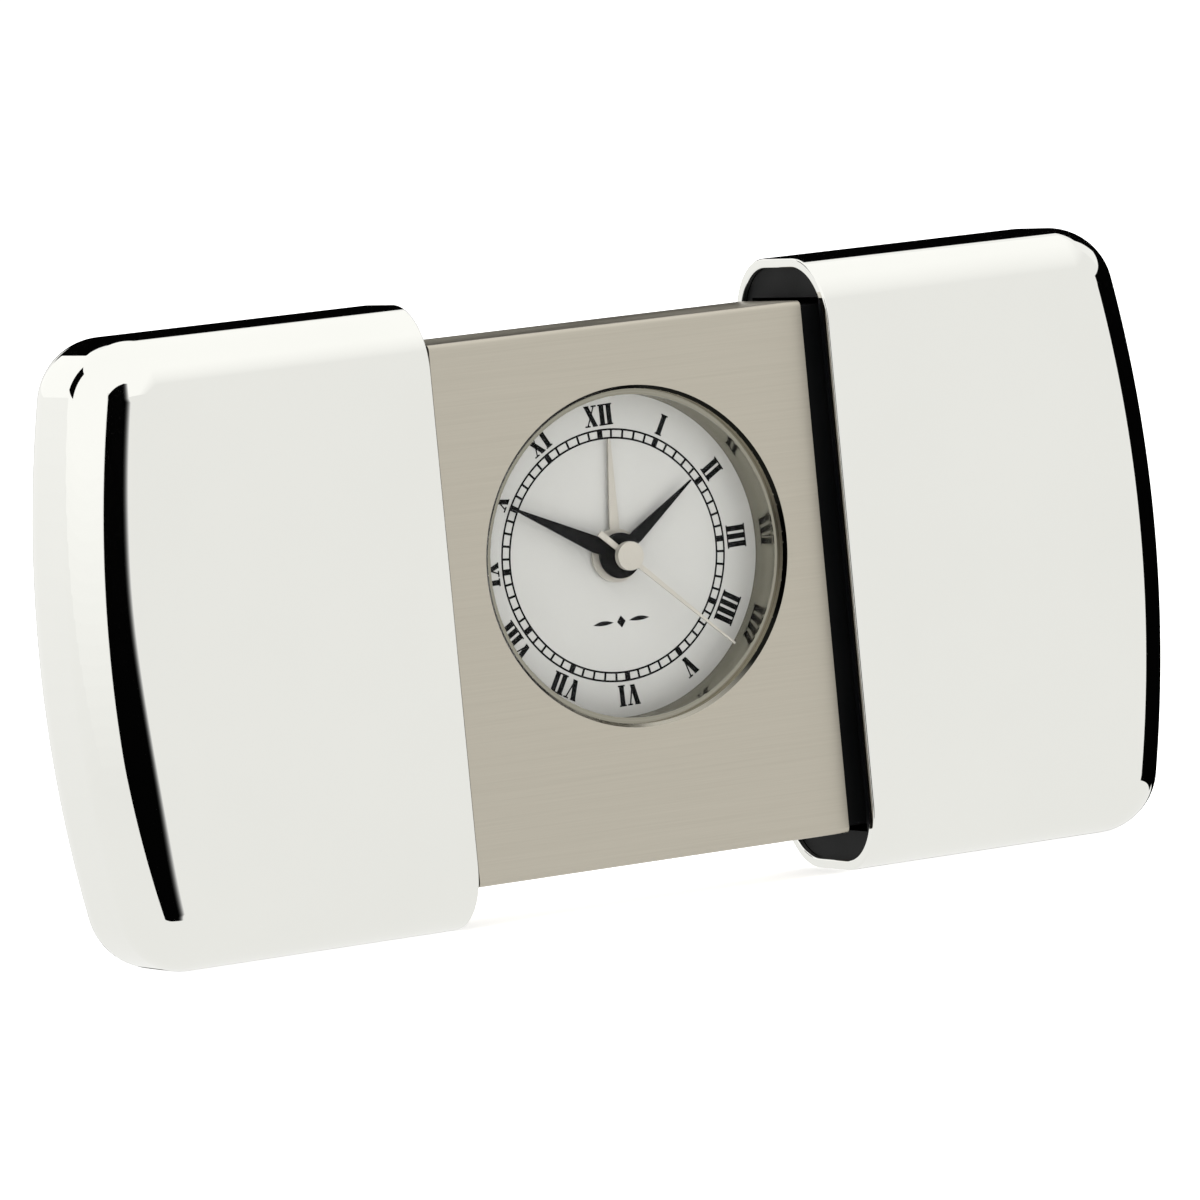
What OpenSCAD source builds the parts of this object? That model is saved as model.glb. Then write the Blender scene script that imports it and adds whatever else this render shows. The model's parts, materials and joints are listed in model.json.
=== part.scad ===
// Sliding travel alarm clock: two polished half shells slide outwards on a
// black carrier case and uncover a brushed face plate with a quartz alarm dial.
// X runs along the slide, Y from front (minus) to back (plus), Z up.
// The origin is under the middle of the open clock, on the plane it stands on.
// Rest pose: both shells open.  Every round axis of the clockwork lies along Y.

/* [Shells] */
// Height of a shell
shell_h = 62.4; // [62.4:0.1:62.8]
// Depth of a shell, front to back
shell_d = 18.9; // [18.9:0.1:19.3]
// Radius of every rounded outer edge and corner
shell_r = 6.7; // [6.5:0.1:6.8]
// Wall of the pressed metal shell
shell_wall = 1.0; // [0.9:0.1:1.1]
// Distance from the middle to the tip of the bowed end, shells open
shell_tip_x = 61.5; // [61.5:0.1:62.5]
// Distance from the middle to a shell's mouth, shells open
mouth_x = 22.55; // [22.55:0.05:23]
// Bow radius of the end, taken through the centres of the rounded edges
bow_r = 125; // [120:1:150]

/* [Carrier case] */
// Width of the carrier case, which stays inside both shells
case_w = 66; // [65:0.5:66]
// Height of the carrier case under the metal flanges
case_h = 52.8; // [52.8:0.1:53]
// Wall of the carrier case
case_wall = 1.2; // [1:0.1:1.4]
// Corner radius of the carrier case, seen from the front
case_r = 2.5; // [2.5:0.1:4]
// Back face of the rear cover
back_y = 6.6; // [6.6:0.01:6.65]

/* [Face plate] */
// Width of the brushed face plate
plate_w = 42.3; // [41.5:0.1:42.5]
// Height of the brushed face plate with its flanges
plate_h = 54; // [54:0.01:54.1]
// Thickness of the front of the plate
plate_t = 0.9; // [0.8:0.1:0.9]
// Radius of the opening over the dial, at its front edge
opening_r = 17.1; // [17.05:0.05:17.15]
// Width of the polished chamfer round the opening
chamfer = 0.35; // [0.3:0.05:0.4]
// Outer radius of the bends along the plate's top and bottom
bend_r = 0.6; // [0.5:0.05:0.6]
// Height of the dial centre over the middle of the plate
dial_up = 3.6; // [3.4:0.1:3.6]

/* [Dial and hands] */
// Distance from the plate's front face to the dial's face
dial_depth = 5.16; // [5.1:0.02:5.2]
// Length of the hour hand
hour_len = 11.2; // [10:0.1:11.4]
// Length of the minute hand
minute_len = 13.4; // [12.5:0.1:14]
// Length of the seconds hand
second_len = 15.2; // [14:0.1:15.4]
// Length of the alarm hand
alarm_len = 11.7; // [11:0.1:12.5]
// Hour shown, in hours after twelve
hour_shown = 1.8; // [0:0.01:12]
// Minute shown
minute_shown = 49.6; // [0:0.1:60]
// Second shown
second_shown = 22; // [0:1:59]
// Alarm time set, in hours after twelve
alarm_shown = 0.07; // [0:0.01:12]

/* [Hidden] */

$fn = 64;
gap = 0.15;             // sliding clearance between carrier and liners
pivot_play = 0.04;      // radial play of every clockwork pivot

mid_z = shell_h / 2;
dial_z = mid_z + dial_up;
front_y = -back_y;
plate_back_y = front_y + plate_t;
dial_y = front_y + dial_depth;
dial_t = 0.4;
dial_back_y = dial_y + dial_t;

// Core of a shell: every outer face is shell_r away from it
core_y = shell_d / 2 - shell_r;
core_z = shell_h / 2 - shell_r;
bow_angle = asin(core_z / bow_r);
bow_x = shell_tip_x - shell_r - bow_r;
corner_x = bow_x + bow_r * cos(bow_angle);

// Carrier case
case_back_y = back_y - 1.0;
case_in_y = plate_back_y + 1.2;
case_in_z = case_h / 2 - case_wall;
barrel_r = opening_r + 0.5;
barrel_wall = 1.4;
bezel_r = opening_r - 0.95;
crystal_r = opening_r + 0.3;
crystal_y = plate_back_y + 0.24;
lip_y = plate_back_y + 0.55;
cone_r = opening_r - 0.8;
cone_lean = 0.95;
boss_x = case_w / 2 - 4;
boss_z = case_h / 2 - 4;
cover_screw_r = 0.9;

// Stop lugs on the carrier and their grooves in the liners
lug_x = case_w / 2 - 2;
lug_z = 28.3;
lug_half_y = 3;

// Liners
liner_recess = 0.6;
liner_x = mouth_x + liner_recess;
liner_end_x = liner_x + 17;
channel_y = back_y + gap;
channel_z = plate_h / 2 + gap;

// Movement, seen from the front and measured from the dial centre
movement_half = 15;
movement_back_y = 4.3;
plate_thin = 0.8;
front_plate_y = dial_back_y + plate_thin;
pillar_at = 12.8;
centre_m = 0.15;
third_m = 0.16;
work_m = 0.28;
alarm_m = 0.23;
fourth_at = polar((8 + 64) * centre_m / 2, 60);
fourth_m = centre_m * 72 / 68;
third_at = polar((10 + 60) * third_m / 2, 240);
rotor_from_third = 196;
rotor_at = third_at + polar((10 + 50) * third_m / 2, rotor_from_third);
minute_dir = -30;
minute_at = polar((10 + 30) * work_m / 2, minute_dir);
time_knob_at = minute_at + polar((10 + 30) * work_m / 2, minute_dir);
alarm_dir = 150;
alarm_knob_at = polar((8 + 40) * alarm_m / 2, alarm_dir);
arbor_r = 0.3;
coil_at = [-3, -12.1];
coil_y = 2.3;
coil_half = 7;

// Set knobs
knob_r = 3.2;
knob_y = 5.4;

// Coaxial hand pipes, outer radii
minute_pipe_r = 0.7;
hour_pipe_r = 1.1;
alarm_pipe_r = 1.5;

// Hand layers: front and back plane of each hand
alarm_hand_y = [-2.0, -1.75];
hour_hand_y = [-2.5, -2.25];
minute_hand_y = [-3.0, -2.75];
second_hand_y = [-4.4, -4.2];
cap_y = -5.1;
cap_r = 1.45;

// Battery: an 11.6 by 5.4 cell
battery_up = -19.35;
battery_r = 5.8;
battery_y = -0.6;
cover_hole_r = 6.2;
tab_r = 6.9;

// Alarm switch
switch_at = [10, 22.2];
switch_travel = 3;

// Buzzer
buzzer_at = [25, 2];
buzzer_r = 5.7;

function polar(d, a) = [d * cos(a), d * sin(a)];

// Extrudes a shape drawn as seen from the front, from plane y0 back to y1
module slab(y0, y1) {
    translate([0, y1, 0]) rotate([90, 0, 0]) linear_extrude(y1 - y0) children();
}

// The same, with the drawing's origin at a point given from the dial centre
module at_dial(y0, y1, p = [0, 0]) {
    translate([p[0], 0, dial_z + p[1]]) slab(y0, y1) children();
}

// A rod along Y at a point given from the dial centre
module rod(r, y0, y1, p = [0, 0], fn = 40) {
    at_dial(y0, y1, p) circle(r, $fn = fn);
}

// A pipe along Y around the dial centre
module pipe(r, bore, y0, y1) {
    at_dial(y0, y1) difference() {
        circle(r, $fn = 40);
        circle(bore, $fn = 40);
    }
}

// A rectangle with true round corners
module round_rect(w, h, r) {
    square([w - 2 * r, h], center = true);
    square([w, h - 2 * r], center = true);
    for (sx = [-1, 1], sy = [-1, 1])
        translate([sx * (w / 2 - r), sy * (h / 2 - r)]) circle(r);
}

// A gear outline: teeth with straight flanks and ample backlash
module gear(teeth, m, tooth_at = 0, bore = 0) {
    pitch = 360 / teeth;
    r = teeth * m / 2;
    difference() {
        polygon([for (i = [0 : teeth - 1]) each [
            polar(r - 0.95 * m, tooth_at + (i - 0.25) * pitch),
            polar(r + 0.65 * m, tooth_at + (i - 0.11) * pitch),
            polar(r + 0.65 * m, tooth_at + (i + 0.11) * pitch),
            polar(r - 0.95 * m, tooth_at + (i + 0.25) * pitch)]]);
        if (bore > 0) circle(bore, $fn = 40);
    }
}

// A spoked gear wheel: four round windows around the hub
module wheel(teeth, m, tooth_at = 0, bore = 0) {
    r = teeth * m / 2;
    difference() {
        gear(teeth, m, tooth_at, bore);
        for (k = [0 : 3])
            translate(polar(r * 0.55, 45 + k * 90)) circle(r * 0.22, $fn = 40);
    }
}

// Tooth angle that puts a gap of a gear at angle a
function gap_at(a, teeth) = a + 180 / teeth;

// Rounded section of a shell, inset by e, as a bar from x0 to x1
module shell_bar(e, x0, x1) {
    translate([x0, 0, mid_z]) rotate([90, 0, 90]) linear_extrude(x1 - x0)
        round_rect(shell_d - 2 * e, shell_h - 2 * e, shell_r - e);
}

// Half profile of a shell's end, to be revolved: depth of the shell, rounded rim
module end_profile(inner, r0, e) {
    rr = shell_r - e;
    translate([inner, -core_y]) square([r0 + rr - inner, 2 * core_y]);
    for (s = [-1, 1]) intersection() {
        translate([r0, s * core_y]) circle(rr);
        translate([r0, -shell_d]) square([2 * rr, 2 * shell_d]);
    }
    if (r0 > inner)
        translate([inner, -core_y - rr]) square([r0 - inner, 2 * core_y + 2 * rr]);
}

// Revolves a profile about an axis along Y, from angle a0 to a1 above +X
module sweep(x, z, a0, a1, fn) {
    translate([x, 0, z]) rotate([90, 0, 0]) rotate([0, 0, a0])
        rotate_extrude(angle = a1 - a0, $fn = fn) children();
}

// Bowed end face of a shell with its rounded front and back edges, inset by e
module shell_bow(e) {
    sweep(bow_x, mid_z, -bow_angle, bow_angle, 240) end_profile(bow_r - 12, bow_r, e);
}

// Rounded top and bottom outer corners of a shell, inset by e
module shell_corner_top(e) {
    sweep(corner_x, mid_z + core_z, bow_angle, 90, 64) end_profile(0, 0, e);
}

module shell_corner_bottom(e) {
    sweep(corner_x, mid_z - core_z, -90, -bow_angle, 64) end_profile(0, 0, e);
}

// Right-hand shell; the left one is its mirror image
module shell() {
    difference() {
        union() {
            shell_bar(0, mouth_x, corner_x);
            shell_bow(0);
            shell_corner_top(0);
            shell_corner_bottom(0);
        }
        shell_bar(shell_wall, mouth_x - 1, corner_x);
        shell_bow(shell_wall);
        shell_corner_top(shell_wall);
        shell_corner_bottom(shell_wall);
    }
}

// Right-hand liner: a black frame with the channel that rides on the carrier
module liner() {
    difference() {
        translate([liner_x, 0, mid_z]) rotate([90, 0, 90])
            linear_extrude(liner_end_x - liner_x)
            round_rect(shell_d - 2 * shell_wall, shell_h - 2 * shell_wall,
                shell_r - shell_wall + 0.2);
        translate([liner_x - 1, -channel_y, mid_z - channel_z])
            cube([liner_end_x - liner_x + 2, 2 * channel_y, 2 * channel_z]);
        translate([lug_x - 0.1, -lug_half_y - 0.3, mid_z - lug_z - 0.3])
            cube([liner_end_x, 2 * lug_half_y + 0.6, 2 * lug_z + 0.6]);
        spring_seat(0.1);
    }
}

// Pocket of the detent spring in the liner's back wall, enlarged by e
module spring_seat(e) {
    translate([liner_x + 3 - e, channel_y - 1, mid_z - 2.5 - e])
        cube([11.6 + 2 * e, 3, 5 + 2 * e]);
}

// Right-hand detent spring: a bent leaf with a bump towards the carrier
module detent_spring() {
    x0 = liner_x + 3;
    base_y = shell_d / 2 - shell_wall;
    t = 0.25;
    translate([x0, 0, mid_z - 2.5]) linear_extrude(5) difference() {
        polygon([
            [0, base_y], [0, base_y - t], [2, base_y - t], [4, channel_y + 0.15],
            [5.2, channel_y - 0.1], [6.4, channel_y + 0.15], [8.4, base_y - t],
            [11.5, base_y - t], [11.5, base_y]]);
        polygon([
            [2.2, base_y + 0.1], [2.2, base_y], [4.15, channel_y + 0.15 + t],
            [5.2, channel_y - 0.1 + t], [6.25, channel_y + 0.15 + t],
            [8.2, base_y], [8.2, base_y + 0.1]]);
    }
}

// Black carrier case: an open-backed tray that both shells slide on
module carrier_case() {
    color("#17181a") {
        difference() {
            translate([0, 0, mid_z]) slab(plate_back_y, case_back_y)
                round_rect(case_w, case_h, case_r);
            translate([0, 0, mid_z]) slab(case_in_y, case_back_y + 1)
                round_rect(case_w - 2 * case_wall, case_h - 2 * case_wall, 1.3);
            rod(barrel_r, plate_back_y - 1, case_in_y + 1, fn = 96);
        }
        difference() {
            at_dial(plate_back_y + 0.2, dial_back_y)
                circle(barrel_r + barrel_wall, $fn = 96);
            rod(barrel_r, plate_back_y - 1, dial_back_y + 1, fn = 96);
        }
        for (sx = [-1, 1], sz = [-1, 1]) cover_boss(sx, sz);
        for (sx = [-1, 1]) stop_lugs(sx);
        battery_cup();
    }
}

module cover_boss(sx, sz) {
    translate([sx * boss_x, 0, mid_z + sz * boss_z]) slab(case_in_y, case_back_y)
        difference() {
            circle(2.2);
            circle(cover_screw_r - 0.1);
        }
}

module stop_lugs(sx) {
    for (sz = [-1, 1])
        translate([sx * (lug_x + 0.8), 0, mid_z + sz * (lug_z + case_h / 2 - 1) / 2])
            cube([1.6, 2 * lug_half_y, lug_z - case_h / 2 + 1], center = true);
}

// Round wall and floor that hold the battery, cut away round the dial
module battery_cup() {
    difference() {
        translate([0, 0, mid_z + battery_up]) intersection() {
            slab(case_in_y, case_back_y - 0.8) circle(battery_r + 1.3);
            cube([40, 40, 2 * (case_in_z + battery_up)], center = true);
        }
        translate([0, 0, mid_z + battery_up])
            slab(battery_y - 0.4, case_back_y) circle(battery_r + 0.25);
        rod(barrel_r, plate_back_y - 1, dial_back_y + 0.05, fn = 96);
    }
}

// Brushed face plate: a sheet bent back along its top and bottom, with the dial opening
module face_plate() {
    color("#b6b0a5") difference() {
        translate([-plate_w / 2, 0, mid_z]) rotate([90, 0, 90])
            linear_extrude(plate_w) plate_section();
        rod(opening_r - chamfer, front_y - 1, 0, fn = 96);
        translate([0, front_y + chamfer, dial_z]) rotate([90, 0, 0])
            cylinder(r1 = opening_r - chamfer, r2 = opening_r + 0.1,
                h = chamfer + 0.1, $fn = 96);
    }
}

// Section of the bent sheet: depth along x, height along y
module plate_section() {
    difference() {
        translate([(front_y + case_back_y) / 2 + bend_r, 0])
            round_rect(case_back_y - front_y + 2 * bend_r, plate_h, bend_r);
        translate([case_back_y, -plate_h]) square([4, 2 * plate_h]);
        translate([plate_back_y, -case_h / 2]) square([case_back_y - front_y, case_h]);
    }
}

// Thin polished ring that holds the crystal behind the plate
module crystal_bezel() {
    color("#c4bfb2") at_dial(plate_back_y + 0.02, crystal_y - 0.02) difference() {
        circle(barrel_r - 0.05, $fn = 96);
        circle(bezel_r, $fn = 96);
    }
}

module crystal() {
    color("#e8f2f4", 0.3) rod(crystal_r, crystal_y, lip_y - 0.02, fn = 96);
}

// Polished cone between crystal and dial
module reflector_ring() {
    color("#c9c9c6") translate([0, 0, dial_z]) rotate([90, 0, 0])
        rotate_extrude($fn = 96) polygon([
            [cone_r, -dial_y], [barrel_r - 0.1, -dial_y],
            [barrel_r - 0.1, -lip_y], [cone_r + cone_lean, -lip_y]]);
}

module dial() {
    color("#dcdcd8") at_dial(dial_y, dial_back_y) difference() {
        circle(barrel_r - 0.1, $fn = 96);
        circle(alarm_pipe_r + 0.15, $fn = 40);
    }
}

// Rear cover with recesses for knobs, switch and battery cover
module rear_cover() {
    color("#1a1b1d") difference() {
        union() {
            translate([0, 0, mid_z]) slab(case_back_y, back_y)
                round_rect(case_w, case_h, case_r);
            translate([0, 0, mid_z + battery_up]) intersection() {
                slab(case_back_y - 0.8, case_back_y) circle(tab_r + 1.4);
                cube([40, 40, 2 * (case_in_z + battery_up)], center = true);
            }
        }
        translate([0, 0, mid_z + battery_up]) {
            slab(0, back_y + 1) circle(cover_hole_r + 0.1);
            slab(0, case_back_y) circle(tab_r + 0.2);
            for (s = [0, 180]) rotate([0, -s - 45, 0]) slab(0, back_y + 1)
                translate([0, -1.6]) square([tab_r + 0.15, 3.2]);
        }
        for (p = [time_knob_at, alarm_knob_at])
            rod(knob_r + 0.2, 0, back_y + 1, p);
        translate([switch_at[0], 0, mid_z + switch_at[1]])
            slab(0, back_y + 1) square([2.4 + switch_travel + 0.8, 2.2], center = true);
        for (sx = [-1, 1], sz = [-1, 1])
            translate([sx * boss_x, 0, mid_z + sz * boss_z]) {
                slab(0, back_y + 1) circle(cover_screw_r + 0.1);
                slab(back_y - 0.5, back_y + 1) circle(1.7);
            }
    }
}

// A small screw along Y with a slotted head: the head's back at y, the tip at y0
module small_screw(shank_r, head_r, y0, y, head_t) {
    slab(y0, y - head_t) circle(shank_r, $fn = 32);
    difference() {
        slab(y - head_t, y) circle(head_r, $fn = 32);
        translate([0, y, 0]) cube([4 * head_r, head_t, 0.35], center = true);
    }
}

module rear_cover_screws() {
    color("#6d6f72") for (sx = [-1, 1], sz = [-1, 1])
        translate([sx * boss_x, 0, mid_z + sz * boss_z])
            small_screw(cover_screw_r - 0.12, 1.6, 1, back_y - 0.02, 0.48);
}

// Front plate of the movement with pillars, pins and bores
module movement_front_plate() {
    color("#2d3034") {
        at_dial(dial_back_y, front_plate_y) difference() {
            square(2 * movement_half, center = true);
            circle(alarm_pipe_r + pivot_play + 0.02, $fn = 40);
            for (p = [fourth_at, third_at, rotor_at, minute_at])
                translate(p) circle(arbor_r + pivot_play, $fn = 40);
        }
        for (sx = [-1, 1], sz = [-1, 1])
            at_dial(front_plate_y, movement_back_y, pillar_at * [sx, sz]) difference() {
                circle(1.5, $fn = 40);
                circle(0.6, $fn = 32);
            }
    }
}

module movement_back_plate() {
    color("#34373b") at_dial(movement_back_y, movement_back_y + plate_thin) difference() {
        square(2 * movement_half, center = true);
        circle(arbor_r + pivot_play, $fn = 40);
        for (p = [fourth_at, third_at, rotor_at, minute_at])
            translate(p) circle(arbor_r + pivot_play, $fn = 40);
        for (p = [time_knob_at, alarm_knob_at])
            translate(p) circle(0.5 + pivot_play, $fn = 40);
        for (sx = [-1, 1], sz = [-1, 1])
            translate(pillar_at * [sx, sz]) circle(0.7, $fn = 32);
    }
}

module movement_screws() {
    color("#9b9c9c") for (sx = [-1, 1], sz = [-1, 1])
        translate([pillar_at * sx, 0, dial_z + pillar_at * sz])
            small_screw(0.55, 1.1, 2, movement_back_y + plate_thin + 0.4, 0.4);
}

// Laminated stator: a ring round the rotor with two legs to the coil
module stator() {
    foot_z = coil_at[1] - 1;
    neck_z = coil_at[1] + 2.1;
    left_x = coil_at[0] - coil_half - 1.2;
    right_x = coil_at[0] + coil_half;
    color("#a9a7a2") {
        at_dial(1.1, 1.9, rotor_at) difference() {
            circle(3.2, $fn = 48);
            circle(2.1, $fn = 48);
        }
        at_dial(1.1, 1.9) polygon([[left_x, foot_z], [left_x + 1.2, foot_z],
            [left_x + 1.2, neck_z], rotor_at + [-0.4, -2.4],
            rotor_at + [-2, -1.6], [left_x, neck_z + 0.6]]);
        at_dial(1.1, 1.9) polygon([rotor_at + [0.8, -2.9], rotor_at + [2.4, -1.5],
            [right_x + 1.2, rotor_at[1] - 1.5], [right_x + 1.2, foot_z],
            [right_x, foot_z], [right_x, rotor_at[1] - 2.9]]);
    }
}

module coil_core() {
    color("#8f8d88") at_dial(1.9, 2.7, coil_at)
        square([2 * coil_half + 2.4, 1.4], center = true);
}

// Bobbin: a square tube with two flanges, the core runs through it
module coil_bobbin() {
    color("#2f4f6f") translate([coil_at[0], coil_y, dial_z + coil_at[1]])
        rotate([0, 90, 0]) difference() {
            union() {
                cube([2, 1.4, 2 * coil_half - 0.4], center = true);
                for (s = [-1, 1]) translate([0, 0, s * (coil_half - 0.5)])
                    cylinder(r = 1.9, h = 0.6, center = true, $fn = 40);
            }
            cube([1.4, 0.8, 2 * coil_half + 2], center = true);
        }
}

module coil_winding() {
    color("#b8703a") translate([coil_at[0], coil_y, dial_z + coil_at[1]])
        rotate([0, 90, 0]) difference() {
            cylinder(r = 1.65, h = 2 * coil_half - 1.8, center = true, $fn = 40);
            cube([2, 1.4, 2 * coil_half], center = true);
        }
}

// Rotor: magnet, pinion and arbor
module rotor() {
    color("#55585c") {
        rod(arbor_r, dial_back_y + 0.1, movement_back_y + 0.7, rotor_at);
        rod(1.7, 1.0, 2.0, rotor_at);
        at_dial(2.0, 2.9, rotor_at) gear(10, third_m, rotor_from_third + 180);
    }
}

module third_wheel() {
    color("#c9a54d") {
        rod(arbor_r, dial_back_y + 0.1, movement_back_y + 0.7, third_at);
        at_dial(2.4, 2.7, third_at) wheel(50, third_m, gap_at(rotor_from_third, 50));
        at_dial(3.4, 4.0, third_at) gear(10, third_m, 60);
    }
}

// Seconds wheel on the long arbor that carries the seconds hand
module seconds_wheel() {
    color("#c9a54d") {
        rod(arbor_r, second_hand_y[1] + 0.02, movement_back_y + 0.7);
        at_dial(2.8, 3.4) gear(8, fourth_m, 60);
        at_dial(3.5, 3.8) wheel(60, third_m, gap_at(240, 60));
    }
}

module fourth_wheel() {
    color("#c9a54d") {
        rod(arbor_r, dial_back_y + 0.1, movement_back_y + 0.7, fourth_at);
        at_dial(2.95, 3.25, fourth_at) wheel(60, fourth_m, gap_at(240, 60));
        at_dial(1.7, 2.3, fourth_at) gear(8, centre_m, 240);
    }
}

// Centre wheel: rides on the seconds arbor and drives the cannon pinion by friction
module centre_wheel() {
    color("#c9a54d") at_dial(1.8, 2.2)
        wheel(64, centre_m, gap_at(60, 64), arbor_r + pivot_play);
}

// Cannon pinion: the pipe that carries the minute hand
module cannon_pinion() {
    color("#d0d0cc") {
        pipe(minute_pipe_r, arbor_r + pivot_play, minute_hand_y[1] + 0.02, 1.75);
        at_dial(1.0, 1.6) gear(10, work_m, minute_dir, arbor_r + pivot_play);
    }
}

module minute_wheel() {
    color("#e6e4da") {
        rod(arbor_r, dial_back_y + 0.1, movement_back_y + 0.7, minute_at);
        at_dial(1.15, 1.45, minute_at) wheel(30, work_m, gap_at(minute_dir + 180, 30));
        at_dial(0.4, 1.15, minute_at) gear(8, work_m, minute_dir + 180);
    }
}

// Hour wheel with the pipe that carries the hour hand
module hour_wheel() {
    color("#e6e4da") {
        pipe(hour_pipe_r, minute_pipe_r + pivot_play, hour_hand_y[1] + 0.02, 0.8);
        at_dial(0.5, 0.8) wheel(32, work_m, gap_at(minute_dir, 32), minute_pipe_r + pivot_play);
    }
}

// Alarm wheel with the pipe that carries the alarm hand
module alarm_wheel() {
    color("#e6e4da") {
        pipe(alarm_pipe_r, hour_pipe_r + pivot_play, alarm_hand_y[1] + 0.02, 0.3);
        at_dial(-0.1, 0.3) wheel(40, alarm_m, gap_at(alarm_dir, 40), hour_pipe_r + pivot_play);
    }
}

// Printed circuit board against the movement's back plate
module circuit_board() {
    color("#2c5b38") at_dial(3.7, movement_back_y) difference() {
        translate([0, 12.4]) square([21, 4.4], center = true);
        for (s = [-1, 1]) translate([s * 9, 12.4]) circle(0.5, $fn = 32);
    }
}

module chip_blob() {
    color("#121314") translate([-3.5, 3.7, dial_z + 12.4]) intersection() {
        translate([0, 1.1, 0]) sphere(2.2);
        translate([-3, -3, -3]) cube([6, 3, 6]);
    }
}

// Tuning-fork crystal in its tube, lying on the board
module quartz_can() {
    color("#c6c8ca") translate([1, 2.9, dial_z + 12.4]) rotate([0, 90, 0]) {
        cylinder(r = 0.8, h = 5.6, $fn = 40);
        translate([0, 0, -0.5]) cylinder(r = 0.65, h = 0.5, $fn = 40);
    }
}

// Buzzer capsule on the case floor, with its sound hole
module buzzer() {
    color("#232527") translate([buzzer_at[0], 0, mid_z + buzzer_at[1]]) difference() {
        slab(case_in_y, case_in_y + 3.2) circle(buzzer_r, $fn = 48);
        slab(case_in_y + 2.4, case_in_y + 4) circle(1.1, $fn = 32);
    }
}

module battery() {
    color("#c8c9c8") translate([0, 0, mid_z + battery_up]) {
        slab(battery_y, battery_y + 0.6) circle(battery_r - 1, $fn = 64);
        slab(battery_y + 0.6, battery_y + 5.4) circle(battery_r, $fn = 64);
    }
}

// Spring strip under the cell with a tail beside the cup
module contact_negative() {
    color("#d9c27a") translate([0, 0, mid_z + battery_up])
        slab(battery_y - 0.4, battery_y) {
            circle(2.4, $fn = 40);
            translate([-1.2, 0]) square([2.4, 5.6]);
        }
}

// Spring strip on the cell's rim
module contact_positive() {
    color("#d9c27a") translate([0, 0, mid_z + battery_up]) {
        slab(battery_y + 5.4, battery_y + 5.6) {
            circle(2.2, $fn = 40);
            translate([-4.6, -1]) square([4.6, 2]);
        }
    }
}

// Coin-turned battery cover with two bayonet tabs
module battery_cover() {
    color("#1d1e20") translate([0, 0, mid_z + battery_up]) {
        difference() {
            slab(case_back_y + 0.05, back_y - 0.05) circle(cover_hole_r);
            translate([0, back_y, 0]) cube([8.4, 1.1, 1.5], center = true);
        }
        slab(battery_y + 5.7, case_back_y + 0.05) circle(cover_hole_r - 0.4);
        slab(battery_y + 5.7, case_back_y - 0.1) intersection() {
            circle(tab_r);
            square([2 * tab_r, 2.4], center = true);
        }
    }
}

// Set knob flush in the rear cover: fluted rim, shaft and a pinion
module set_knob(p, teeth, m, tooth_at, pinion_y) {
    at_dial(knob_y, back_y - 0.1, p) difference() {
        circle(knob_r, $fn = 48);
        for (k = [0 : 11]) translate(polar(knob_r, k * 30)) circle(0.35, $fn = 24);
    }
    rod(0.5, pinion_y[1], knob_y, p);
    at_dial(pinion_y[0], pinion_y[1], p) gear(teeth, m, tooth_at);
}

module time_set_knob() {
    color("#26282b") set_knob(time_knob_at, 10, work_m, minute_dir + 180, [1.0, 1.6]);
}

module alarm_set_knob() {
    color("#26282b") set_knob(alarm_knob_at, 8, alarm_m, alarm_dir + 180, [-0.15, 0.35]);
}

// Alarm on and off slider: a button through the cover and a plate behind it
module alarm_switch() {
    x0 = switch_at[0] - switch_travel / 2;
    color("#b23a2e") translate([x0, 0, mid_z + switch_at[1]]) {
        difference() {
            slab(case_back_y - 0.1, back_y - 0.1) square([2.4, 2], center = true);
            for (k = [-1 : 1]) translate([k * 0.6, back_y, 0])
                cube([0.25, 0.5, 3], center = true);
        }
        slab(case_back_y - 0.6, case_back_y - 0.1) square([4.4, 3], center = true);
    }
}

// A hand in a layer: hub ring and a blade widest at root_r, narrowing to the tip
module hand(layer, turn, hub_r, bore, root_half, root_r, tip_r, tip_half) {
    foot_r = (hub_r + bore) / 2;
    at_dial(layer[0], layer[1]) difference() {
        circle(hub_r, $fn = 48);
        circle(bore, $fn = 40);
    }
    at_dial(layer[0], layer[1]) rotate(-turn) polygon([
        [-root_half * 0.8, foot_r], [-root_half, root_r], [-tip_half, tip_r],
        [tip_half, tip_r], [root_half, root_r], [root_half * 0.8, foot_r]]);
}

module hour_hand() {
    color("#0d0d0e") hand(hour_hand_y, hour_shown * 30, 2.1,
        minute_pipe_r + pivot_play, 0.66, 2.9, hour_len, 0.06);
}

module minute_hand() {
    color("#0d0d0e") hand(minute_hand_y, minute_shown * 6, 2.3,
        arbor_r + pivot_play, 0.85, 3.0, minute_len, 0.06);
}

module alarm_hand() {
    color("#cfcabf") hand(alarm_hand_y, alarm_shown * 30, 2.7,
        hour_pipe_r + pivot_play, 0.55, 2.9, alarm_len, 0.14);
}

// Seconds hand with its counterweight tail and round cap
module second_hand() {
    color("#d3cec2") {
        at_dial(second_hand_y[0], second_hand_y[1]) rotate(-second_shown * 6) polygon([
            [-0.32, -3.9], [-0.1, second_len], [0.1, second_len], [0.32, -3.9]]);
        rod(0.9, second_hand_y[0], second_hand_y[1]);
        rod(cap_r, cap_y, second_hand_y[0], fn = 48);
    }
}

module left_shell() {
    color("#e7e7e2") mirror([1, 0, 0]) shell();
}
module right_shell() {
    color("#e7e7e2") shell();
}
module left_liner() {
    color("#0e0f12") mirror([1, 0, 0]) liner();
}
module right_liner() {
    color("#0e0f12") liner();
}
module left_detent_spring() {
    color("#a5a7a9") mirror([1, 0, 0]) detent_spring();
}
module right_detent_spring() {
    color("#a5a7a9") detent_spring();
}

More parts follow.
